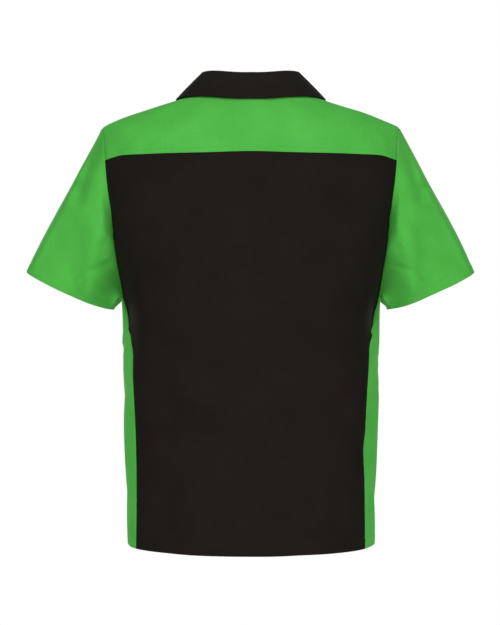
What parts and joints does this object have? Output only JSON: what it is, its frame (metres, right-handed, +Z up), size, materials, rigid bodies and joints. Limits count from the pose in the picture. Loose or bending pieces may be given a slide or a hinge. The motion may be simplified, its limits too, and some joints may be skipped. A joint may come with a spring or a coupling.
{
  "type": "short-sleeved work shirt",
  "caption": "Two-tone button-front work shirt with a turned-down collar, back yoke, side panels and short set-in sleeves, hollow and filled out as if worn.",
  "frame": {"origin": "on the centre plane, in the middle of the neck hole, level with the points where the shoulders meet the neck: the height at which the wearer's shoulders hold the shirt", "axes": "+Z up, +Y to the back, so the buttoned front faces -Y, and +X to the wearer's left"},
  "size_m": [0.7694, 0.2995, 0.7966],
  "materials": {
    "black_cloth": "matt black poplin",
    "green_cloth": "matt bright green poplin",
    "button": "polished black resin"
  },
  "bodies": {
    "root": {"back": "black_cloth", "yoke": "green_cloth", "front_left": "black_cloth", "front_right": "black_cloth", "placket": "black_cloth", "side_panel_left": "green_cloth", "side_panel_right": "green_cloth", "sleeve_left": "green_cloth", "sleeve_right": "green_cloth", "collar": "black_cloth", "button_1": "button", "button_2": "button", "button_3": "button", "button_4": "button", "button_5": "button", "button_6": "button"}
  },
  "joints": []
}
